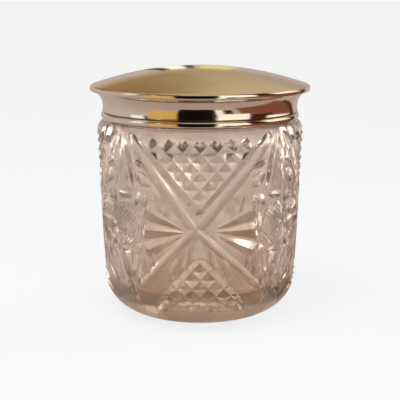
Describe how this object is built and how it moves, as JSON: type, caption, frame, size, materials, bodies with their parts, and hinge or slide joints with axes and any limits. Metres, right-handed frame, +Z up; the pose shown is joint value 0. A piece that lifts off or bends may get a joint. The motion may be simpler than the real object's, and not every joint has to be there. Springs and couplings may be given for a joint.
{
  "type": "powder jar",
  "caption": "Round cut crystal powder jar with crossed bars and diamond points, and a push-on silver lid with a low dome, overhanging brim and waisted side.",
  "frame": {"origin": "centre of the flat base that the jar rests on", "axes": "+Z up along the jar's axis; -Y is the front, in the middle of one crossed panel; +X to the right seen from the front"},
  "size_m": [0.0886, 0.0886, 0.0996],
  "materials": {
    "crystal": "clear cut crystal with a faint warm tint, polished",
    "silver": "polished silver with fine wear scratches",
    "inner_silver": "plain silver, dulled and slightly tarnished inside the lid"
  },
  "bodies": {
    "jar": {"glass_jar": "crystal"},
    "lid": {"lid_dome": "silver", "lid_brim_wire": "silver", "lid_side_band": "silver", "lid_foot_bead": "silver", "lid_inner_sleeve": "inner_silver"}
  },
  "joints": [
    {"name": "lid_lift", "type": "slide", "parent": "jar", "child": "lid", "axis": [0, 0, 1], "range_m": [0, 0.05]}
  ]
}
